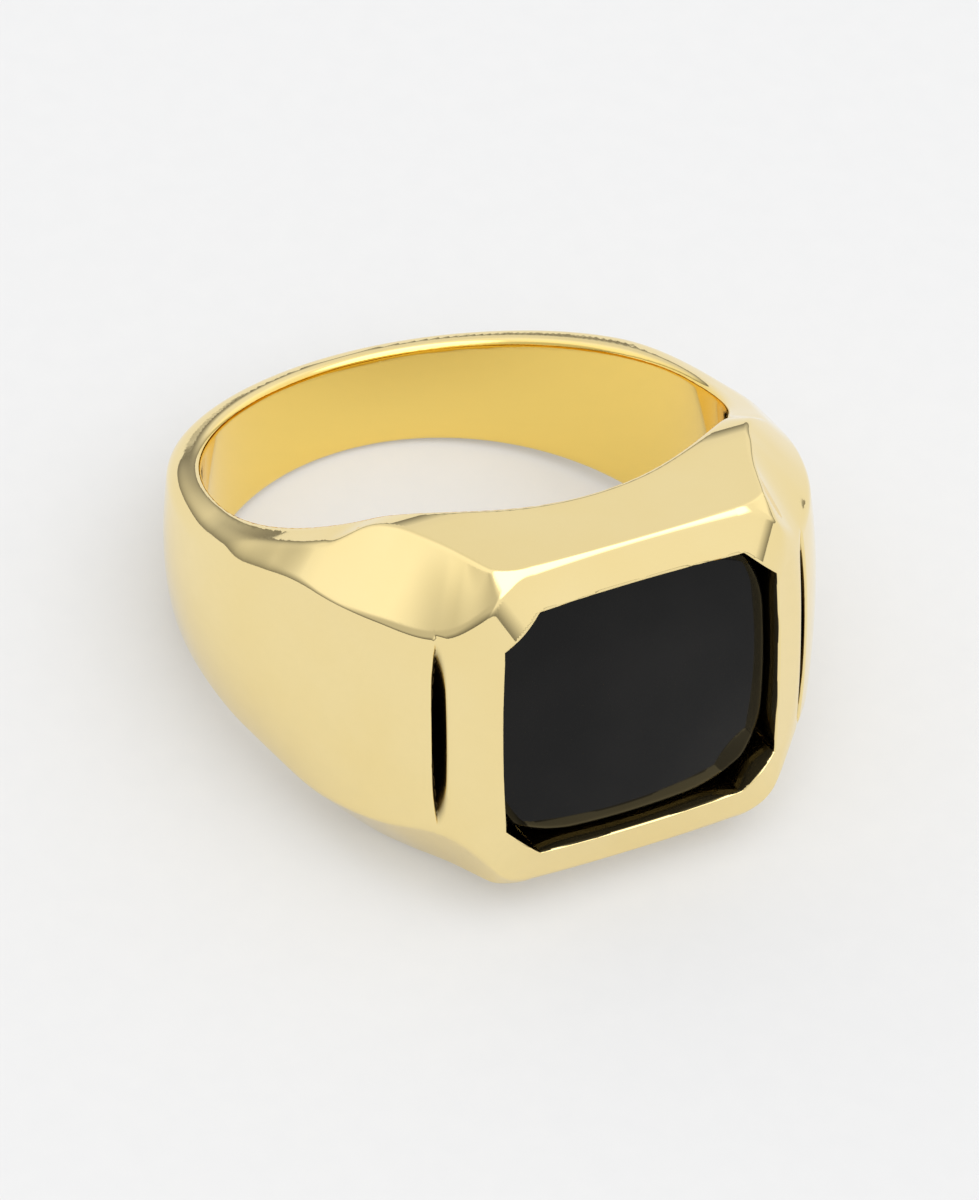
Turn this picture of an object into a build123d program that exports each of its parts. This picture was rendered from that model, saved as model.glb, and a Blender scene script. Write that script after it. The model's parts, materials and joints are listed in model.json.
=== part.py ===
from build123d import *
import math
import os

# A signet ring with an octagonal onyx inlay.  All sizes are in millimetres.
# The pieces are drawn in the ring's own attitude: the finger axis is Z, the table of the
# setting faces -Y and the back of the hoop is +Y.  At the end the ring is laid on its side,
# on an edge of the setting and an edge of the back, so that +Z is straight up.

# Outline of the ring, seen along the finger.  Both arcs are larger than the bore by a set amount.
bore_radius = 9.5
back_wall = 1.15
back_arc_excess = 1.7
back_arc_angle = 70.0
shoulder_arc_excess = 5.5

# Half widths of the ring, seen from the side.  The flare runs straight from its bend to the crest,
# which lies in front of the bore's middle.
back_half_width = 2.05
shank_taper = 9.6
flare_radius = 12.0
flare_slope = 26.9
crest_share = 0.825
setting_half_height = 6.7

# Rounding of the ring's sides, seen from the front
side_crown_radius = 10.0

# Setting: its rim slopes down from the recess to the shoulders, with a steep brow at top and bottom
rim_width = 1.9
brow_height = 0.55
brow_slope = 40.0
floor_wall = 0.95

# Corner facets: cones about the centres of the shoulder arcs
facet_drop = 2.6
facet_slope = 48.0

# Recess, stone and the cement under it
recess_half_length = 5.4
recess_half_height = 5.02
recess_corner_length = 1.33
recess_corner_height = 1.26
recess_bow = 0.12
stone_clearance = 0.05
stone_edge_drop = 0.75
stone_centre_drop = 0.35
stone_thickness = 2.55
stone_edge_break = 0.12
cement_thickness = 0.15

# Brazed joints between the shank and the setting, and the groove along each of them
braze_thickness = 0.1
groove_width = 0.56
groove_depth = 0.85
groove_half_length = 4.0

# Softened edges
hoop_edge_radius = 0.5
bore_edge_radius = 0.2

# Places that follow from these sizes
back_arc_radius = bore_radius + back_arc_excess
shoulder_arc_radius = bore_radius + shoulder_arc_excess
joint_half_length = recess_half_length + rim_width
facet_height = setting_half_height - facet_drop
rim_half_height = setting_half_height - brow_height
recess_floor = bore_radius + floor_wall
stone_back = recess_floor + cement_thickness
stone_front = stone_back + stone_thickness
recess_edge_distance = stone_front + stone_centre_drop
crest = Vector(-crest_share * bore_radius, setting_half_height)

# How far the outlines and the cutting tools run past the ring
reach = 40.0

# Slack when edges are picked by where they lie
tolerance = 0.01


def back_arc_centre():
    return Vector(0, bore_radius + back_wall - back_arc_radius)


def shoulder_arc_centre():
    """Centre of the left shoulder arc, which leaves the back arc without a corner."""
    turn = math.radians(back_arc_angle)
    outward = Vector(-math.sin(turn), math.cos(turn))
    return back_arc_centre() - outward * (shoulder_arc_radius - back_arc_radius)


def shoulder_end_y():
    """Where the shoulder arc meets the plane of the joint."""
    centre = shoulder_arc_centre()
    across = joint_half_length + centre.X
    return centre.Y - math.sqrt(shoulder_arc_radius**2 - across**2)


def rim_slope():
    """Fall of the rim for each unit outwards: it ends level with the shoulders."""
    fall = recess_edge_distance + shoulder_end_y()
    return fall / (joint_half_length - recess_half_length)


def hoop_prism():
    """The ring seen along the finger: back arc and two shoulder arcs, which meet before the table."""
    back = CenterArc(back_arc_centre(), back_arc_radius, 90, back_arc_angle)
    centre = shoulder_arc_centre()
    start_angle = 90 + back_arc_angle
    end_angle = 180 + math.degrees(math.acos(centre.X / shoulder_arc_radius))
    shoulder = CenterArc(centre, shoulder_arc_radius, start_angle, end_angle - start_angle)
    half = Curve() + [back, shoulder]
    outline = half + mirror(half, about=Plane.YZ)
    return extrude(make_face(outline), amount=reach, both=True)


def middle_half_width():
    """Half width of the ring that the taper reaches beside the bore's middle."""
    return back_half_width + bore_radius * math.tan(math.radians(shank_taper))


def flare_corner():
    """Where the taper and the flare's straight run would meet, if the flare had no bend."""
    taper = math.tan(math.radians(shank_taper))
    slope = math.tan(math.radians(flare_slope))
    y = (crest.Y + crest.X * slope - middle_half_width()) / (slope - taper)
    return Vector(y, middle_half_width() - y * taper)


def width_prism():
    """The ring seen from the side: straight taper, flare, cheeks of the setting and its brows."""
    tail_y = middle_half_width() / math.tan(math.radians(shank_taper))
    rim_y = (rim_half_height - recess_half_height) * rim_slope() - recess_edge_distance
    brow_y = rim_y + brow_height * math.tan(math.radians(brow_slope))
    rear = FilletPolyline((tail_y, 0), flare_corner(), crest, radius=flare_radius)
    front = Polyline(
        crest,
        (brow_y, setting_half_height),
        (rim_y, rim_half_height),
        (-reach, rim_half_height),
        (-reach, 0),
    )
    half = Curve() + [rear, front]
    outline = half + mirror(half, about=Plane.XZ)
    return extrude(Plane.YZ * make_face(outline), amount=reach, both=True)


def side_crown_prism():
    """The ring seen from the front: its two sides are rounded."""
    furthest = shoulder_arc_radius - shoulder_arc_centre().X
    top = setting_half_height + 1
    corner_x = furthest - side_crown_radius + math.sqrt(side_crown_radius**2 - top**2)
    left = ThreePointArc((-corner_x, top), (-furthest, 0), (-corner_x, -top))
    half = Curve() + [Line((0, top), left @ 0), left, Line(left @ 1, (0, -top))]
    outline = half + mirror(half, about=Plane.YZ)
    return extrude(Plane.XZ * make_face(outline), amount=reach, both=True)


def facet_cutter():
    """What the left upper corner facet takes away: a cone about the shoulder arc's centre."""
    fall = math.tan(math.radians(facet_slope))
    top = setting_half_height + 2
    outside = shoulder_arc_radius + 3
    section = Polyline(
        (outside, facet_height - (outside - shoulder_arc_radius) * fall),
        (shoulder_arc_radius - (top - facet_height) / fall, top),
        (outside, top),
        close=True,
    )
    cone = revolve(Plane.XZ * make_face(section), Axis.Z, 360)
    centre = shoulder_arc_centre()
    left_half = Pos(-reach / 2, 0, 0) * Box(reach, 2 * reach, 2 * reach)
    return Pos(centre.X, centre.Y, 0) * cone & left_half


def octagon(grow=0.0):
    """Outline of the recess with its long sides bowed outwards, made larger by grow all round."""
    corner_grow = grow * math.tan(math.radians(22.5))
    x = recess_half_length + grow
    z = recess_half_height + grow
    x_in = recess_half_length - recess_corner_length + corner_grow
    z_in = recess_half_height - recess_corner_height + corner_grow
    side = ThreePointArc((-x, -z_in), (-x - recess_bow, 0), (-x, z_in))
    top = ThreePointArc((-x_in, z), (0, z + recess_bow), (x_in, z))
    half = Curve() + [side, Line(side @ 1, top @ 0), top, Line(top @ 1, (x, z_in))]
    return make_face(half + half.rotate(Axis.Z, 180))


def octagon_block(near, far, grow=0.0):
    """A block with the recess outline, between two distances from the finger axis."""
    face = Plane.XZ.offset(near) * octagon(grow)
    return extrude(face, amount=far - near, dir=(0, -1, 0))


def rim_waste():
    """What the sloping rim takes away: all that lies in front of the spreading recess outline."""
    spread = reach / 2
    rear_distance = recess_edge_distance - spread * rim_slope()
    edge = Plane.XZ.offset(recess_edge_distance) * octagon()
    rear = Plane.XZ.offset(rear_distance) * octagon(grow=spread)
    rim = loft([edge.face(), rear.face()], ruled=True)
    block = Pos(0, -rear_distance - reach, 0) * Box(2 * reach, 2 * reach, 2 * reach)
    return block - rim


def groove_cutter():
    """The knife-edged wheel that cuts the left groove, as far in as groove_depth."""
    wheel_radius = (groove_half_length**2 + groove_depth**2) / (2 * groove_depth)
    height = groove_depth + 2
    half_width = groove_width / 2 * height / groove_depth
    section = Polyline(
        (0, wheel_radius),
        (half_width, wheel_radius - height),
        (-half_width, wheel_radius - height),
        close=True,
    )
    wheel = revolve(make_face(section), Axis.X, 360)
    return Pos(-joint_half_length, shoulder_end_y() + groove_depth - wheel_radius, 0) * wheel


def in_all_corners(tool):
    """The tool with its mirror images on the other three corners of the setting."""
    pair = [tool, mirror(tool, about=Plane.YZ)]
    return pair + [mirror(piece, about=Plane.XY) for piece in pair]


def rim_edges(blank, nearest, furthest):
    """Edges that run along the ring's two rims, by their distance from the finger axis."""
    chosen = []
    for edge in blank.edges():
        middle = edge @ 0.5
        box = edge.bounding_box()
        runs_along = box.size.Z < back_half_width and box.size.Y > 0
        if runs_along and abs(middle.Z) > back_half_width / 2:
            if nearest < math.hypot(middle.X, middle.Y) < furthest:
                chosen.append(edge)
    return chosen


def hoop_edges(blank):
    """The outer edges of the hoop, behind the widest part of the shoulders."""
    outer = rim_edges(blank, bore_radius + back_wall / 2, reach)
    return [edge for edge in outer if edge.bounding_box().min.Y > -tolerance]


def metal_body():
    """All the metal of the ring in one piece, before the setting is parted from the shank."""
    blank = hoop_prism() & width_prism() & side_crown_prism()
    for cutter in in_all_corners(facet_cutter()):
        blank -= cutter
    blank -= rim_waste()
    blank -= Cylinder(bore_radius, 2 * reach)
    blank = fillet(hoop_edges(blank), hoop_edge_radius)
    blank = fillet(rim_edges(blank, bore_radius - tolerance, bore_radius + tolerance), bore_edge_radius)
    for cutter in (groove_cutter(), mirror(groove_cutter(), about=Plane.YZ)):
        blank -= cutter
    return blank


def slab(half_length):
    """The front half of the ring, as far as half_length to left and right."""
    return Pos(0, -reach, 0) * Box(2 * half_length, 2 * reach, 2 * reach)


def left_of(piece):
    return piece & Pos(-reach, 0, 0) * Box(2 * reach, 2 * reach, 2 * reach)


def make_bezel_head(body):
    """The setting: the block between the shoulders, with the recess sunk into its table."""
    block = body & slab(joint_half_length - braze_thickness / 2)
    return block - octagon_block(recess_floor, reach)


def make_shank(body):
    """The hoop with both shoulders, open where the setting is let in."""
    return body - slab(joint_half_length + braze_thickness / 2)


def make_braze_seam(body):
    """The left film of braze, flush with the metal on both sides of it."""
    outer = body & slab(joint_half_length + braze_thickness / 2)
    return left_of(outer - slab(joint_half_length - braze_thickness / 2))


def make_stone_cement():
    """The bed of clear cement on the recess floor."""
    return octagon_block(recess_floor, stone_back, -stone_clearance)


def make_onyx_stone():
    """The buff-topped stone: an octagonal slab with a gently domed, polished face."""
    rise = stone_edge_drop - stone_centre_drop
    half = recess_half_length + recess_bow - stone_clearance
    dome_radius = (half**2 + rise**2) / (2 * rise)
    dome = Pos(0, dome_radius - stone_front, 0) * Sphere(dome_radius)
    stone = octagon_block(stone_back, reach, -stone_clearance) & dome
    face_edges = [edge for edge in stone.edges() if edge.bounding_box().max.Y < -stone_back - tolerance]
    return chamfer(face_edges, stone_edge_break)


def rest_tilt():
    """Tilt at which the ring rests on the lower crest of its flare and the lower edge of its back."""
    taper = math.radians(shank_taper)
    back_y = bore_radius + back_wall - hoop_edge_radius
    drop = middle_half_width() - back_y * math.tan(taper)
    back_z = hoop_edge_radius / math.cos(taper) - drop
    run = back_y - crest.X
    rise = back_z + crest.Y
    slant = math.atan2(rise, run) - math.asin(hoop_edge_radius / math.hypot(run, rise))
    return math.degrees(slant)


def main():
    body = metal_body()
    seam = make_braze_seam(body)
    pieces = {
        "shank": make_shank(body),
        "bezel_head": make_bezel_head(body),
        "braze_seam_left": seam,
        "braze_seam_right": mirror(seam, about=Plane.YZ),
        "stone_cement": make_stone_cement(),
        "onyx_stone": make_onyx_stone(),
    }
    lying = Rot(-rest_tilt(), 0, 0)
    box = Compound(children=[lying * body, lying * pieces["bezel_head"]]).bounding_box()
    place = Pos(0, -box.center().Y, -box.min.Z) * lying
    os.makedirs("parts", exist_ok=True)
    for name, piece in pieces.items():
        export_step(place * piece, f"parts/{name}.step")
    centre = place.position
    print(f"tilt {rest_tilt():.3f} degrees, bore centre {centre.X:.3f} {centre.Y:.3f} {centre.Z:.3f}")


main()
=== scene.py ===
import json
import math

import bmesh
import bpy
import numpy as np
from mathutils import Matrix, Vector


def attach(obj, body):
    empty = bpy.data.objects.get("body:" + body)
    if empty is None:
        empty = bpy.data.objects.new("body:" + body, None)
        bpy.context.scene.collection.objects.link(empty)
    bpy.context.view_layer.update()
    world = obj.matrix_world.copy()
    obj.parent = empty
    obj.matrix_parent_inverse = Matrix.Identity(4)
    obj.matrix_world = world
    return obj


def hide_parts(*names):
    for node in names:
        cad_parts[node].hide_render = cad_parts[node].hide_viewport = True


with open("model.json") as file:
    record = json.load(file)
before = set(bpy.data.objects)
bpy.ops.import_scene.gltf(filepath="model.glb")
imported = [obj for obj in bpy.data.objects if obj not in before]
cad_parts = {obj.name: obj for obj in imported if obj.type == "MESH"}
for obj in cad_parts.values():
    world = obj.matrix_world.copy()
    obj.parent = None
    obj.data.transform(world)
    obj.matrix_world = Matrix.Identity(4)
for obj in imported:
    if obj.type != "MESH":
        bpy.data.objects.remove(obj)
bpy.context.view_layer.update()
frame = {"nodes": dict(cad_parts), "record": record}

MM = 0.001

# The ring's own attitude, from the finger bore.  In it the finger axis is Z, the table faces -Y and
# the back of the hoop is +Y, as in the part's drawing.
BORE = next(m for m in frame["record"]["mounts"] if m["name"] == "finger_bore")
BORE_RADIUS = BORE["dims"]["r_mm"]
FINGER_AXIS = Vector(BORE["axis"]).normalized()
ACROSS = Vector((1, 0, 0))
TOWARDS_BACK = FINGER_AXIS.cross(ACROSS)
RING_TURN = Matrix((ACROSS, TOWARDS_BACK, FINGER_AXIS)).transposed().to_4x4()
RING_PLACE = Matrix.Translation(Vector(BORE["pos_m"])) @ RING_TURN

# Driving sizes of the ring, in millimetres and degrees, under the names that the part's drawing uses
BACK_WALL = 1.15
BACK_ARC_RADIUS = BORE_RADIUS + 1.7
BACK_ARC_ANGLE = math.radians(70)
SHOULDER_ARC_RADIUS = BORE_RADIUS + 5.5
BACK_HALF_WIDTH = 2.05
SHANK_TAPER = math.radians(9.6)
FLARE_SLOPE = math.radians(26.9)
CREST_Y = -0.825 * BORE_RADIUS
SETTING_HALF_HEIGHT = 6.7
RECESS_HALF_LENGTH = 5.4
RECESS_HALF_HEIGHT = 5.02
RECESS_CORNER_LENGTH = 1.33
RECESS_CORNER_HEIGHT = 1.26
RECESS_BOW = 0.12
RECESS_FLOOR = BORE_RADIUS + 0.95
RECESS_EDGE_DISTANCE = 13.5
JOINT_HALF_LENGTH = RECESS_HALF_LENGTH + 1.9
BRAZE_THICKNESS = 0.1
GROOVE_WIDTH = 0.56
GROOVE_DEPTH = 0.85
STONE_BACK = RECESS_FLOOR + 0.15
STONE_FRONT = STONE_BACK + 2.55
STONE_CLEARANCE = 0.05

# What the visual shape adds to the drawing: rounded and sloping sides, the table's brows, the run
# of the corner facets, and grooves that are longer and narrower than the drawing's
CROWN_CURVATURE = 1 / 9
BACK_CURVATURE = 1 / 40
CROWN_RISES = (45, 90)
CROWN_FADES = (108, 142)
LAND_FALL = 0.38
LAND_RISES = (60, 95)
LAND_FADES = (126, 138)
CHEEK_FALL = 0.03
TOP_RIM_FALL = 0.38
TOP_BROW_START = 1.34
TOP_BROW_SPREAD = 1.0
CORNER_BROW_START = 1.5
CORNER_BROW_SPREAD = 1.0
FACET_TIP_HEIGHT = 3.54
FACET_RISE = 0.63
FACET_DIP = 0.22
FACET_TIP_INSET = 0.70
FACET_INSET_LOSS = 0.50
FACET_TABLE_LOSS = 0.10
FACET_SLOPE = math.radians(47)
FACET_STEEPENING = math.radians(13.5)
FACET_STRAIGHT_FROM = math.radians(126.5)
FACET_RISES = (94, 113)
FACET_DIPS = (124, 133)
FACET_RECOVERS = (135, 142)
FACET_WIDENS = (102, 124)
FACET_DRAWS_BACK = (132, 141)
FACET_STEEPENS = (121, 141)
GROOVE_HALF_LENGTH = 4.7
GROOVE_SLOT_SHARE = 0.66
GROOVE_FLANK = math.radians(30)
STONE_DOME_RADIUS = 36.0

# How far the softening of each kind of edge reaches to either side of it, in millimetres
FLARE_SOFTNESS = 0.9
CREST_SOFTNESS = 0.6
HOOP_SOFTNESS = 0.55
BORE_SOFTNESS = 0.42
FACET_SOFTNESS = 0.12
RIM_SOFTNESS = 0.06
BROW_SOFTNESS = 0.04
MITRE_SOFTNESS = 0.25
RIM_MITRE_SOFTNESS = 0.8
RECESS_SOFTNESS = 0.06
GROOVE_SOFTNESS = 0.18
STONE_CORNER_SOFTNESS = 1.2
STONE_EDGE_SOFTNESS = 0.35

# Where the bore's painted reflection (a deeper gold for light bounced between its walls) ends, by distance
# from its wall, and how deep the grooves' painted shade begins
BORE_REFLECTION_REACH = (0.02, 0.20)
GROOVE_SHADE_DEPTHS = (0.05, 0.20)

# Grid spacings of the metal and the stone, and how far out the stone's grid reaches
COARSE = 0.15
MIDDLING = 0.13
FINE = 0.085
STONE_SPACING = 0.12
STONE_DEPTH_SPACING = 0.08
STONE_GRID_REACH = 5.8
STONE_GRID_BACK = 0.3

# The setting's side of the ring, where it is parted into its pieces, has Y below this
FRONT_Y = -1


def soft_max(a, b, reach):
    """The larger of two values, blended where they are closer than reach."""
    overlap = np.maximum(reach - np.abs(a - b), 0)
    return np.maximum(a, b) + overlap**2 / (4 * reach)


def soft_min(a, b, reach):
    """The smaller of two values, blended where they are closer than reach."""
    return -soft_max(-a, -b, reach)


def soft_step(low, high, value):
    """None up to low, one from high on, and smooth between."""
    t = np.clip((value - low) / (high - low), 0, 1)
    return t * t * (3 - 2 * t)


# Places that follow from the sizes
BACK_ARC_Y = BORE_RADIUS + BACK_WALL - BACK_ARC_RADIUS
SHOULDER_X = -math.sin(BACK_ARC_ANGLE) * (BACK_ARC_RADIUS - SHOULDER_ARC_RADIUS)
SHOULDER_Y = BACK_ARC_Y + math.cos(BACK_ARC_ANGLE) * (BACK_ARC_RADIUS - SHOULDER_ARC_RADIUS)
SHOULDER_END_Y = SHOULDER_Y - math.sqrt(SHOULDER_ARC_RADIUS**2 - (JOINT_HALF_LENGTH + SHOULDER_X) ** 2)
RIM_FALL = (RECESS_EDGE_DISTANCE + SHOULDER_END_Y) / (JOINT_HALF_LENGTH - RECESS_HALF_LENGTH)
MIDDLE_HALF_WIDTH = BACK_HALF_WIDTH + BORE_RADIUS * math.tan(SHANK_TAPER)
GROOVE_WHEEL_RADIUS = (GROOVE_HALF_LENGTH**2 + GROOVE_DEPTH**2) / (2 * GROOVE_DEPTH)
GROOVE_WHEEL_Y = SHOULDER_END_Y + GROOVE_DEPTH - GROOVE_WHEEL_RADIUS


def crown_share(x, y):
    """One where the ring's sides are fully rounded, none at the back and at the setting."""
    around = np.degrees(np.arctan2(np.abs(x), y))
    return soft_step(*CROWN_RISES, around) * (1 - soft_step(*CROWN_FADES, around))


def outline_distance(x, y, z):
    """How far a point is outside the ring's rounded outer side."""
    across = np.abs(x)
    back = np.hypot(across, y - BACK_ARC_Y) - BACK_ARC_RADIUS
    shoulder = np.hypot(across + SHOULDER_X, y - SHOULDER_Y) - SHOULDER_ARC_RADIUS
    beyond = across * math.cos(BACK_ARC_ANGLE) - (y - BACK_ARC_Y) * math.sin(BACK_ARC_ANGLE)
    flat = np.where(beyond > 0, shoulder, back)
    curvature = BACK_CURVATURE + (CROWN_CURVATURE - BACK_CURVATURE) * crown_share(x, y)
    return flat + curvature * z**2 / 2


def side_distance(x, y, z):
    """How far a point is outside the ring's two flanks: taper, flare and cheeks."""
    above = np.abs(z)
    around = np.degrees(np.arctan2(np.abs(x), y))
    fall = LAND_FALL * soft_step(*LAND_RISES, around) * (1 - soft_step(*LAND_FADES, around))
    fall = fall * (np.hypot(x, y) - BORE_RADIUS).clip(0)
    taper = (above + fall - MIDDLE_HALF_WIDTH) * math.cos(SHANK_TAPER) + y * math.sin(SHANK_TAPER)
    flare = (above + fall - SETTING_HALF_HEIGHT) * math.cos(FLARE_SLOPE)
    flare = flare + (y - CREST_Y) * math.sin(FLARE_SLOPE)
    cheek = above - SETTING_HALF_HEIGHT + CHEEK_FALL * (CREST_Y - y).clip(0)
    return soft_max(soft_min(taper, flare, FLARE_SOFTNESS), cheek, CREST_SOFTNESS)


def facet_distance(x, y, z):
    """A corner facet: a cone about the shoulder arc's centre that runs on straight at the table."""
    across = np.abs(x) + SHOULDER_X
    along = y - SHOULDER_Y
    around = np.degrees(np.arctan2(across, along))
    round_part = np.hypot(across, along)
    straight_part = across * math.sin(FACET_STRAIGHT_FROM) + along * math.cos(FACET_STRAIGHT_FROM)
    radius = np.where(around > math.degrees(FACET_STRAIGHT_FROM), straight_part, round_part)
    dip = soft_step(*FACET_DIPS, around) - soft_step(*FACET_RECOVERS, around)
    height = FACET_TIP_HEIGHT + FACET_RISE * soft_step(*FACET_RISES, around)
    height = height - FACET_DIP * dip
    inset = FACET_TIP_INSET - FACET_INSET_LOSS * soft_step(*FACET_WIDENS, around)
    inset = inset - FACET_TABLE_LOSS * soft_step(*FACET_DRAWS_BACK, around)
    slope = FACET_SLOPE + FACET_STEEPENING * soft_step(*FACET_STEEPENS, around)
    out = radius - SHOULDER_ARC_RADIUS + inset
    return (np.abs(z) - height) * np.cos(slope) + out * np.sin(slope)


def recess_distance(x, z):
    """How far a point is outside the octagon of the recess, whose long sides are bowed."""
    across = np.abs(x)
    above = np.abs(z)
    inner_x = RECESS_HALF_LENGTH - RECESS_CORNER_LENGTH
    inner_z = RECESS_HALF_HEIGHT - RECESS_CORNER_HEIGHT
    side = across - RECESS_HALF_LENGTH - RECESS_BOW * (1 - (z / inner_z) ** 2).clip(0)
    top = above - RECESS_HALF_HEIGHT - RECESS_BOW * (1 - (x / inner_x) ** 2).clip(0)
    size = math.hypot(RECESS_CORNER_LENGTH, RECESS_CORNER_HEIGHT)
    corner = (across - RECESS_HALF_LENGTH) * RECESS_CORNER_HEIGHT / size
    corner = corner + (above - inner_z) * RECESS_CORNER_LENGTH / size
    return side, top, corner


def blank_distance(x, y, z):
    """How far a point is outside the metal of the ring before its grooves are cut."""
    metal = soft_max(outline_distance(x, y, z), side_distance(x, y, z), HOOP_SOFTNESS)
    metal = soft_max(metal, facet_distance(x, y, z), FACET_SOFTNESS)

    side, top, corner = recess_distance(x, z)
    drop = soft_max(side * RIM_FALL, top * TOP_RIM_FALL, RIM_MITRE_SOFTNESS)
    depth = y + RECESS_EDGE_DISTANCE
    rim = (drop - depth) / math.hypot(1, RIM_FALL)
    top_brow = top - TOP_BROW_START - TOP_BROW_SPREAD * (depth - TOP_BROW_START * TOP_RIM_FALL)
    corner_brow = corner - CORNER_BROW_START - CORNER_BROW_SPREAD * (depth - drop)
    top_brow = top_brow / math.hypot(1, TOP_BROW_SPREAD)
    corner_brow = corner_brow / math.hypot(1, CORNER_BROW_SPREAD)
    metal = soft_max(metal, soft_max(top_brow, corner_brow, MITRE_SOFTNESS), BROW_SOFTNESS)
    metal = soft_max(metal, rim, RIM_SOFTNESS)

    metal = soft_max(metal, BORE_RADIUS - np.hypot(x, y), BORE_SOFTNESS)

    pocket = np.maximum(np.maximum(np.maximum(side, top), corner), y + RECESS_FLOOR)
    return soft_max(metal, -pocket, RECESS_SOFTNESS)


def body_distance(x, y, z):
    """How far a point is outside all the metal of the ring, with its grooves cut."""
    off = np.abs(np.abs(x) - JOINT_HALF_LENGTH)
    depth = GROOVE_WHEEL_RADIUS - np.hypot(y - GROOVE_WHEEL_Y, z)
    flank = off * math.cos(GROOVE_FLANK) - depth * math.sin(GROOVE_FLANK)
    slot = off - GROOVE_SLOT_SHARE * GROOVE_WIDTH / 2
    blank = blank_distance(x, y, z)
    return soft_max(blank, -soft_max(flank, slot, GROOVE_SOFTNESS), GROOVE_SOFTNESS)


def stone_distance(x, y, z):
    """How far a point is outside the stone: an octagonal slab with a domed, rolled-off face."""
    side, top, corner = recess_distance(x, z)
    girdle = soft_max(soft_max(side, top, MITRE_SOFTNESS), corner, STONE_CORNER_SOFTNESS) + STONE_CLEARANCE
    dome = np.sqrt(x**2 + (y + STONE_FRONT - STONE_DOME_RADIUS) ** 2 + z**2) - STONE_DOME_RADIUS
    stone = soft_max(girdle, dome, STONE_EDGE_SOFTNESS)
    return np.maximum(stone, y + STONE_BACK)


def bore_reflection_share(x, y, z):
    """Share of the bore's painted reflection: one on the bore's wall, falling to none at its rims."""
    return 1 - soft_step(*BORE_REFLECTION_REACH, np.abs(np.hypot(x, y) - BORE_RADIUS))


def groove_shade_share(x, y, z):
    """Share of the grooves' painted shade: one inside a groove, falling to none at its edges."""
    return soft_step(*GROOVE_SHADE_DEPTHS, -blank_distance(x, y, z))


SLOPE_STEP = 0.01
SMALLEST_LENGTH = 1e-9


def slopes(distance, points):
    """How a distance changes along each axis, which is outward from its surface."""
    slope = np.empty_like(points)
    for axis in range(3):
        shift = np.zeros(3)
        shift[axis] = SLOPE_STEP
        ahead = distance(*(points + shift).T)
        behind = distance(*(points - shift).T)
        slope[:, axis] = (ahead - behind) / (2 * SLOPE_STEP)
    return slope


def unit(vectors):
    return vectors / np.maximum(np.linalg.norm(vectors, axis=1), SMALLEST_LENGTH)[:, None]


def graded(stops):
    """Grid lines from the first stop on, each stretch with a spacing of its own."""
    lines = [np.array([stops[0]])]
    for start, end, spacing in zip(stops[0:-2:2], stops[2::2], stops[1::2]):
        count = max(1, round((end - start) / spacing))
        lines.append(np.linspace(start, end, count + 1)[1:])
    return np.concatenate(lines)


# How strongly a cell's vertex is held to the middle of its crossings, against its edges' planes
CENTRE_PULL = 0.08


def contour(distance, xs, ys, zs):
    """Vertices and quads of the surface where a distance is none, by dual contouring on a grid.

    Each grid edge that crosses the surface gives a quad, and each cell it borders a vertex, which
    sits where the planes of the cell's crossings meet and then steps on to the surface itself.
    """
    grid = np.meshgrid(xs, ys, zs, indexing="ij")
    value = distance(*grid)
    spacing = min(np.diff(line).min() for line in (xs, ys, zs))
    inside = value < 0
    cells = [n - 1 for n in value.shape]
    cell_step = (cells[1] * cells[2], cells[2], 1)
    seen_cells, seen_points, seen_normals, quads = [], [], [], []
    for axis in range(3):
        near = [slice(None)] * 3
        far = [slice(None)] * 3
        near[axis] = slice(None, -1)
        far[axis] = slice(1, None)
        index = np.argwhere(inside[tuple(near)] != inside[tuple(far)])
        other = index.copy()
        other[:, axis] += 1
        a = value[tuple(index.T)]
        b = value[tuple(other.T)]
        start = np.stack([line[i] for line, i in zip((xs, ys, zs), index.T)], 1)
        end = np.stack([line[i] for line, i in zip((xs, ys, zs), other.T)], 1)
        point = start + (end - start) * (a / (a - b))[:, None]
        normal = unit(slopes(distance, point))
        first = sum(index[:, k] * cell_step[k] for k in range(3))
        u = cell_step[(axis + 1) % 3]
        v = cell_step[(axis + 2) % 3]
        around = np.stack([first, first - u, first - u - v, first - v], 1)
        outward = a < 0
        quads.append(np.where(outward[:, None], around, around[:, ::-1]))
        for corner in range(4):
            seen_cells.append(around[:, corner])
            seen_points.append(point)
            seen_normals.append(normal)
    cell = np.concatenate(seen_cells)
    point = np.concatenate(seen_points)
    normal = np.concatenate(seen_normals)
    used, slot = np.unique(cell, return_inverse=True)
    count = np.bincount(slot)
    centre = np.stack([np.bincount(slot, point[:, k]) for k in range(3)], 1) / count[:, None]
    offset = np.einsum("ij,ij->i", normal, point - centre[slot])
    matrix = np.empty((len(used), 3, 3))
    target = np.empty((len(used), 3))
    for i in range(3):
        target[:, i] = np.bincount(slot, normal[:, i] * offset)
        for j in range(3):
            matrix[:, i, j] = np.bincount(slot, normal[:, i] * normal[:, j])
    matrix += CENTRE_PULL * np.eye(3)
    move = np.linalg.solve(matrix, target[:, :, None])[:, :, 0]
    length = np.linalg.norm(move, axis=1)
    move *= np.minimum(1, spacing / np.maximum(length, SMALLEST_LENGTH))[:, None]
    vertices = centre + move
    slope = slopes(distance, vertices)
    vertices -= slope * (distance(*vertices.T) / (slope**2).sum(1))[:, None]
    faces = np.searchsorted(used, np.concatenate(quads))
    return vertices, faces


def placed(points):
    """Points of the ring's own attitude, in millimetres, as places in the frame, in metres."""
    turn = np.array(RING_PLACE.to_3x3())
    return points * MM @ turn.T + np.array(RING_PLACE.translation)


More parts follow.
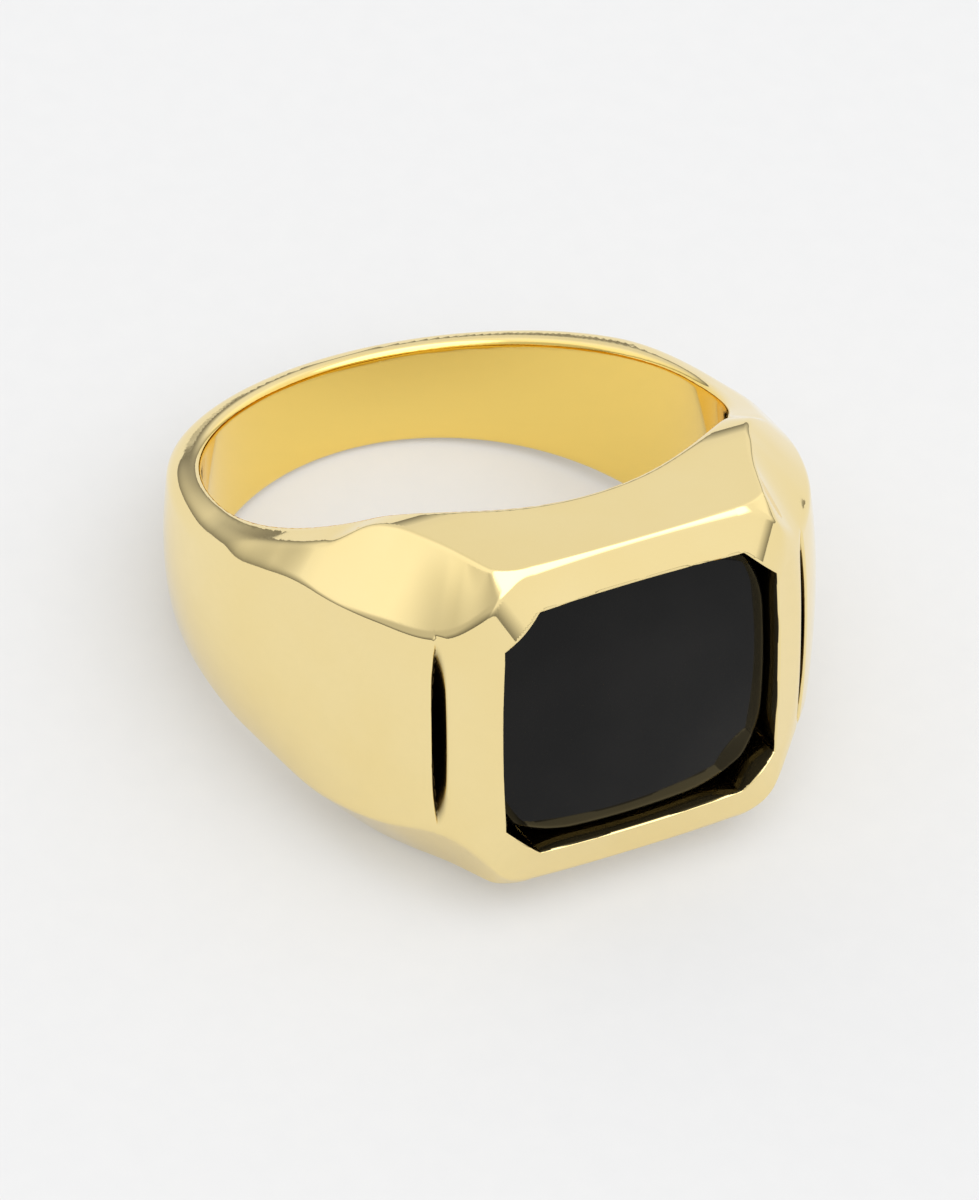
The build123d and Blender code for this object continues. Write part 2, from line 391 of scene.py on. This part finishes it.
def plain_mesh(name, vertices, faces):
    """A mesh of faces that all have the same number of corners."""
    mesh = bpy.data.meshes.new(name)
    mesh.vertices.add(len(vertices))
    mesh.vertices.foreach_set("co", np.asarray(vertices, np.float32).ravel())
    mesh.loops.add(faces.size)
    mesh.loops.foreach_set("vertex_index", faces.astype(np.int32).ravel())
    mesh.polygons.add(len(faces))
    starts = np.arange(0, faces.size, faces.shape[1], dtype=np.int32)
    mesh.polygons.foreach_set("loop_start", starts)
    mesh.update(calc_edges=True)
    return mesh


CUT_TOLERANCE = 1e-5


def cut_front(bm, x):
    """Cuts the setting's side of the ring at a plane across it."""
    front = [f for f in bm.faces if f.calc_center_median().y < FRONT_Y]
    edges = {e for f in front for e in f.edges}
    verts = {v for f in front for v in f.verts}
    geometry = list(verts) + list(edges) + front
    bmesh.ops.bisect_plane(
        bm, geom=geometry, dist=CUT_TOLERANCE, plane_co=(x, 0, 0), plane_no=(1, 0, 0)
    )


def piece_of(bm, keep):
    """The closed piece of metal made of the faces that keep picks, with its cut ends filled."""
    part = bm.copy()
    others = [f for f in part.faces if not keep(f.calc_center_median())]
    bmesh.ops.delete(part, geom=others, context="FACES")
    open_edges = [e for e in part.edges if e.is_boundary]
    ends = bmesh.ops.holes_fill(part, edges=open_edges, sides=0)["faces"]
    for face in part.faces:
        face.smooth = True
    for face in ends:
        face.smooth = False
    bmesh.ops.recalc_face_normals(part, faces=part.faces)
    return part


def finished_object(name, part, distance):
    """A ring piece in its place, shaded with the exact directions of its surface."""
    mesh = bpy.data.meshes.new(name)
    part.to_mesh(mesh)
    part.free()
    points = np.empty(len(mesh.vertices) * 3, np.float64)
    mesh.vertices.foreach_get("co", points)
    points = points.reshape(-1, 3)
    turn = np.array(RING_TURN.to_3x3())
    normals = unit(slopes(distance, points)) @ turn.T
    mesh.vertices.foreach_set("co", placed(points).astype(np.float32).ravel())
    mesh.update()
    corner = np.empty(len(mesh.loops), np.int32)
    mesh.loops.foreach_get("vertex_index", corner)
    loop_normals = normals[corner]
    for face in mesh.polygons:
        if not face.use_smooth:
            loop_normals[face.loop_start:face.loop_start + face.loop_total] = face.normal
    mesh.polygons.foreach_set("use_smooth", [True] * len(mesh.polygons))
    mesh.normals_split_custom_set(loop_normals)
    # The two shares carry the bore's painted reflection and the grooves' painted shade to the material
    shares = {"bore_reflection_share": bore_reflection_share(*points.T), "groove_shade_share": groove_shade_share(*points.T)}
    for share, values in shares.items():
        attribute = mesh.attributes.new(share, "FLOAT", "POINT")
        attribute.data.foreach_set("value", values.astype(np.float32))
    obj = bpy.data.objects.new(name, mesh)
    bpy.context.scene.collection.objects.link(obj)
    return obj


def make_metal(gold):
    """The shank, the setting and the two braze seams, parted from one contoured ring.

    The grid is finest round the facets, the grooves and the table.
    """
    xs = graded((-12.2, COARSE, -8, FINE, -3.8, COARSE, 3.8, FINE, 8, COARSE, 12.2))
    ys = graded((-13.9, FINE, -9.7, COARSE, 10.9))
    zs = graded((-7.0, FINE, -3.6, MIDDLING, 3.6, FINE, 7.0))
    vertices, faces = contour(body_distance, xs, ys, zs)
    whole = plain_mesh("whole_ring", vertices, faces)
    bm = bmesh.new()
    bm.from_mesh(whole)
    bpy.data.meshes.remove(whole)
    inner = JOINT_HALF_LENGTH - BRAZE_THICKNESS / 2
    outer = JOINT_HALF_LENGTH + BRAZE_THICKNESS / 2
    for x in (-outer, -inner, inner, outer):
        cut_front(bm, x)
    pieces = {
        "shank": lambda c: abs(c.x) > outer or c.y > FRONT_Y,
        "bezel_head": lambda c: abs(c.x) < inner and c.y <= FRONT_Y,
        "braze_seam_left": lambda c: -outer < c.x < -inner and c.y <= FRONT_Y,
        "braze_seam_right": lambda c: inner < c.x < outer and c.y <= FRONT_Y,
    }
    for node, keep in pieces.items():
        obj = finished_object(node + "_polished", piece_of(bm, keep), body_distance)
        obj.data.materials.append(gold)
        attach(obj, "root")
        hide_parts(node)
    bm.free()


def make_stone(onyx):
    line = graded((-STONE_GRID_REACH, STONE_SPACING, STONE_GRID_REACH))
    ys = graded((-RECESS_EDGE_DISTANCE, STONE_DEPTH_SPACING, STONE_GRID_BACK - STONE_BACK))
    vertices, faces = contour(stone_distance, line, ys, line)
    bm = bmesh.new()
    mesh = plain_mesh("stone_blank", vertices, faces)
    bm.from_mesh(mesh)
    bpy.data.meshes.remove(mesh)
    for face in bm.faces:
        face.smooth = True
    obj = finished_object("onyx_stone_polished", bm, stone_distance)
    obj.data.materials.append(onyx)
    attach(obj, "root")
    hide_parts("onyx_stone")


# Camera, about the finger bore: angles in degrees, lengths in bore radii
CAMERA_AZIMUTH = -27.671
CAMERA_ELEVATION = 32.432
CAMERA_ROLL = -0.421
CAMERA_DISTANCE = 29.743
CAMERA_TARGET = (0.1085, 0.0, -0.3708)
CAMERA_LENS = 230.53
CAMERA_SENSOR = 36.0
CAMERA_FARTHEST = 2.0


def make_camera():
    azimuth = math.radians(CAMERA_AZIMUTH)
    elevation = math.radians(CAMERA_ELEVATION)
    back = Vector((
        math.sin(azimuth) * math.cos(elevation),
        -math.cos(azimuth) * math.cos(elevation),
        math.sin(elevation),
    ))
    right = Vector((0, 0, 1)).cross(back).normalized()
    up = back.cross(right)
    turn = Matrix((right, up, back)).transposed().to_4x4()
    radius = BORE_RADIUS * MM
    target = Vector(CAMERA_TARGET) * radius
    place = Matrix.Translation(target + back * CAMERA_DISTANCE * radius) @ turn
    data = bpy.data.cameras.new("camera")
    data.lens = CAMERA_LENS
    data.sensor_width = CAMERA_SENSOR
    data.clip_start = radius
    data.clip_end = CAMERA_FARTHEST
    camera = bpy.data.objects.new("camera", data)
    bpy.context.scene.collection.objects.link(camera)
    camera.matrix_world = RING_PLACE @ place @ Matrix.Rotation(math.radians(CAMERA_ROLL), 4, "Z")
    bpy.context.scene.camera = camera


# Tones of the materials, as linear colours
PLATE = (0.935, 0.765, 0.385)
PLATE_CLOUD = (0.925, 0.745, 0.355)
# Painted reflection: the deeper gold of light bounced inside the bore
PAINTED_BORE_REFLECTION = (0.97, 0.72, 0.20)
# Painted shade: the dark colour inside the grooves
PAINTED_GROOVE_SHADE = (0.060, 0.040, 0.016)
ONYX = (0.004, 0.004, 0.004)
ONYX_DARK = (0.0035, 0.0034, 0.0033)
ONYX_SMOKE = (0.008, 0.0075, 0.007)
EPOXY = (0.03, 0.026, 0.022)
EPOXY_DARK = (0.02, 0.018, 0.016)
EPOXY_PALE = (0.05, 0.042, 0.034)
PAPER = (0.46, 0.46, 0.46)
PAPER_DARK = (0.455, 0.457, 0.460)
PAPER_PALE = (0.465, 0.466, 0.468)
PAPER_GLOW = 0.27

# Heights of the bumps, in metres
PLATE_SWELL = 0.00003
HAIRLINE_DEPTH = 0.0000005
EPOXY_SWELL = 0.00003


def principled(name, colour, metallic, roughness):
    """A material with its own Principled shader, and short names for its tree and shader."""
    material = bpy.data.materials.new(name)
    material.use_nodes = True
    tree = material.node_tree
    shader = tree.nodes["Principled BSDF"]
    shader.inputs["Base Color"].default_value = (*colour, 1)
    shader.inputs["Metallic"].default_value = metallic
    shader.inputs["Roughness"].default_value = roughness
    return material, tree, shader


def noise(tree, scale, detail, stretch=(1, 1, 1), turn=(0, 0, 0)):
    """Noise in the object's own coordinates: scale in features per metre, stretched along each axis."""
    place = tree.nodes.new("ShaderNodeTexCoord")
    mapping = tree.nodes.new("ShaderNodeMapping")
    mapping.inputs["Rotation"].default_value = turn
    mapping.inputs["Scale"].default_value = tuple(scale * k for k in stretch)
    texture = tree.nodes.new("ShaderNodeTexNoise")
    texture.inputs["Scale"].default_value = 1.0
    texture.inputs["Detail"].default_value = detail
    tree.links.new(place.outputs["Object"], mapping.inputs["Vector"])
    tree.links.new(mapping.outputs["Vector"], texture.inputs["Vector"])
    return texture.outputs["Fac"]


def remap(tree, value, low, high, new_low, new_high):
    """A value taken from one range to another, and held at its ends."""
    node = tree.nodes.new("ShaderNodeMapRange")
    node.inputs["From Min"].default_value = low
    node.inputs["From Max"].default_value = high
    node.inputs["To Min"].default_value = new_low
    node.inputs["To Max"].default_value = new_high
    tree.links.new(value, node.inputs["Value"])
    return node.outputs["Result"]


def mixed(tree, share, first, second):
    """A colour between two, by a share; the first may be another colour socket."""
    node = tree.nodes.new("ShaderNodeMix")
    node.data_type = "RGBA"
    tree.links.new(share, node.inputs["Factor"])
    if isinstance(first, tuple):
        node.inputs["A"].default_value = (*first, 1)
    else:
        tree.links.new(first, node.inputs["A"])
    node.inputs["B"].default_value = (*second, 1)
    return node.outputs["Result"]


def math_node(tree, operation, *values):
    """One operation on values, each a number or a socket."""
    node = tree.nodes.new("ShaderNodeMath")
    node.operation = operation
    for socket, value in zip(node.inputs, values):
        if isinstance(value, (int, float)):
            socket.default_value = value
        else:
            tree.links.new(value, socket)
    return node.outputs["Value"]


def bump(tree, shader, layers):
    """Stacks bumps, each a height, its depth in metres and its strength."""
    below = None
    for height, depth, strength in layers:
        node = tree.nodes.new("ShaderNodeBump")
        node.inputs["Distance"].default_value = depth
        node.inputs["Strength"].default_value = strength
        tree.links.new(height, node.inputs["Height"])
        if below is not None:
            tree.links.new(below, node.inputs["Normal"])
        below = node.outputs["Normal"]
    tree.links.new(below, shader.inputs["Normal"])


def hairlines(tree, turn):
    """Sparse fine polishing lines, nearly one way: one on a line and none between."""
    streaks = noise(tree, 14000.0, 1.0, (0.05, 1.0, 1.0), turn)
    patches = noise(tree, 500.0, 2.0)
    lines = remap(tree, streaks, 0.68, 0.76, 0.0, 1.0)
    worn = remap(tree, patches, 0.52, 0.70, 0.0, 1.0)
    return math_node(tree, "MULTIPLY", lines, worn)


def share_of(tree, name):
    """A share that the mesh carries at each vertex."""
    node = tree.nodes.new("ShaderNodeAttribute")
    node.attribute_name = name
    return node.outputs["Fac"]


def gold_material():
    """Mirror-polished gold plate: clouds of tone, handling haze and hairlines.

    The bore's wall carries a painted reflection, a deeper gold for light bounced between its walls, and
    the grooves carry painted shade, a dark colour that also roughens them.
    """
    material, tree, shader = principled("polished_gold", PLATE, 1.0, 0.05)
    clouds = remap(tree, noise(tree, 260.0, 4.0), 0.35, 0.70, 0.0, 1.0)
    tone = mixed(tree, clouds, PLATE, PLATE_CLOUD)
    # Painted reflection: deeper gold on the bore's wall
    tone = mixed(tree, share_of(tree, "bore_reflection_share"), tone, PAINTED_BORE_REFLECTION)
    # Painted shade: the grooves darken with depth, and the same share also roughens them
    groove_shade_mask = share_of(tree, "groove_shade_share")
    tone = mixed(tree, groove_shade_mask, tone, PAINTED_GROOVE_SHADE)
    tree.links.new(tone, shader.inputs["Base Color"])
    haze = remap(tree, noise(tree, 420.0, 5.0), 0.40, 0.75, 0.03, 0.07)
    one_way = hairlines(tree, (0.3, 0.5, 0.4))
    other_way = hairlines(tree, (1.2, -0.4, 1.0))
    lines = math_node(tree, "MAXIMUM", one_way, other_way)
    scratched = math_node(tree, "MULTIPLY", lines, 0.05)
    groove_roughening = math_node(tree, "MULTIPLY", groove_shade_mask, 0.2)
    worn = math_node(tree, "ADD", haze, scratched)
    tree.links.new(math_node(tree, "ADD", worn, groove_roughening), shader.inputs["Roughness"])
    swell = noise(tree, 230.0, 2.0)
    bump(tree, shader, [(swell, PLATE_SWELL, 0.4), (lines, HAIRLINE_DEPTH, 0.4)])
    return material


def onyx_material():
    """Polished black onyx, with faint smoky clouds and a few hairlines."""
    material, tree, shader = principled("black_onyx", ONYX, 0.0, 0.06)
    shader.inputs["Specular IOR Level"].default_value = 0.16
    clouds = remap(tree, noise(tree, 180.0, 5.0), 0.40, 0.75, 0.0, 1.0)
    smoke = mixed(tree, clouds, ONYX_DARK, ONYX_SMOKE)
    tree.links.new(smoke, shader.inputs["Base Color"])
    lines = hairlines(tree, (0.2, 0.1, 0.9))
    haze = remap(tree, noise(tree, 300.0, 4.0), 0.40, 0.75, 0.05, 0.10)
    scratched = math_node(tree, "MULTIPLY", lines, 0.05)
    tree.links.new(math_node(tree, "ADD", haze, scratched), shader.inputs["Roughness"])
    return material


def cement_material():
    """Cured dark epoxy: glossy, uneven, slightly brown."""
    material, tree, shader = principled("dark_epoxy", EPOXY, 0.0, 0.25)
    clouds = remap(tree, noise(tree, 700.0, 5.0), 0.35, 0.70, 0.0, 1.0)
    tree.links.new(mixed(tree, clouds, EPOXY_DARK, EPOXY_PALE), shader.inputs["Base Color"])
    bump(tree, shader, [(noise(tree, 1500.0, 4.0), EPOXY_SWELL, 0.5)])
    return material


def paper_material():
    """The pale matt paper that the ring lies on, lit from below as well as from above."""
    material, tree, shader = principled("pale_paper", PAPER, 0.0, 0.9)
    shader.inputs["Emission Color"].default_value = (1.0, 1.0, 1.0, 1)
    shader.inputs["Emission Strength"].default_value = PAPER_GLOW
    shader.inputs["Specular IOR Level"].default_value = 0.1
    fibres = remap(tree, noise(tree, 900.0, 5.0), 0.30, 0.70, 0.0, 1.0)
    tree.links.new(mixed(tree, fibres, PAPER_DARK, PAPER_PALE), shader.inputs["Base Color"])
    return material


FLOOR_REACH = 1


def make_floor():
    mesh = bpy.data.meshes.new("paper_floor")
    corners = [(x * FLOOR_REACH, y * FLOOR_REACH, 0) for x, y in ((-1, -1), (1, -1), (1, 1), (-1, 1))]
    mesh.from_pydata(corners, [], [(0, 1, 2, 3)])
    floor = bpy.data.objects.new("paper_floor", mesh)
    bpy.context.scene.collection.objects.link(floor)
    mesh.materials.append(paper_material())


# The studio: a soft white tent, brighter overhead, with a dark gap under its hem.  Each patch is a
# direction from the ring, the cosines where it is full and where it ends, and its brightness.
TENT_HORIZON = 0.92
TENT_ZENITH = 1.06
TENT_GAP = 0.28
TENT_GAP_TOP = 0.20
TENT_PATCHES = (
    ((-0.93, -0.25, 0.25), 0.96, 0.82, 0.62),
    ((-0.75, 0.45, 0.60), 0.96, 0.80, 1.12),
    ((0.41, 0.83, 0.37), 0.95, 0.75, 0.84),
    ((-0.02, -0.42, 0.91), 0.87, 0.77, 2.20),
    ((0.85, 0.45, 0.30), 0.95, 0.70, 1.15),
)


def make_tent():
    """The world's light, as a brightness that only depends on the direction it comes from."""
    world = bpy.data.worlds.new("tent")
    world.use_nodes = True
    tree = world.node_tree
    background = tree.nodes["Background"]
    background.inputs["Color"].default_value = (1.0, 1.0, 1.0, 1)
    place = tree.nodes.new("ShaderNodeTexCoord")
    split = tree.nodes.new("ShaderNodeSeparateXYZ")
    tree.links.new(place.outputs["Generated"], split.inputs["Vector"])
    light = remap(tree, split.outputs["Z"], 0.0, 1.0, TENT_HORIZON, TENT_ZENITH)
    gap = remap(tree, split.outputs["Z"], 0.0, TENT_GAP_TOP, TENT_GAP, 1.0)
    light = math_node(tree, "MULTIPLY", light, gap)
    for direction, full, end, brightness in TENT_PATCHES:
        dot = tree.nodes.new("ShaderNodeVectorMath")
        dot.operation = "DOT_PRODUCT"
        dot.inputs[1].default_value = Vector(direction).normalized()
        tree.links.new(place.outputs["Generated"], dot.inputs[0])
        ramp = tree.nodes.new("ShaderNodeMapRange")
        ramp.interpolation_type = "SMOOTHSTEP"
        ramp.inputs["From Min"].default_value = end
        ramp.inputs["From Max"].default_value = full
        ramp.inputs["To Min"].default_value = 1.0
        ramp.inputs["To Max"].default_value = brightness
        tree.links.new(dot.outputs["Value"], ramp.inputs["Value"])
        light = math_node(tree, "MULTIPLY", light, ramp.outputs["Result"])
    tree.links.new(light, background.inputs["Strength"])
    bpy.context.scene.world = world


def dress_nodes(gold, onyx, cement):
    """Materials of the CAD nodes, of which only the cement bed is still in use."""
    worn = {"onyx_stone": onyx, "stone_cement": cement}
    for name, node in frame["nodes"].items():
        node.data.materials.clear()
        node.data.materials.append(worn.get(name, gold))


make_camera()
gold = gold_material()
onyx = onyx_material()
make_metal(gold)
make_stone(onyx)
dress_nodes(gold, onyx, cement_material())
make_floor()
make_tent()
bpy.context.scene.view_settings.view_transform = "Standard"
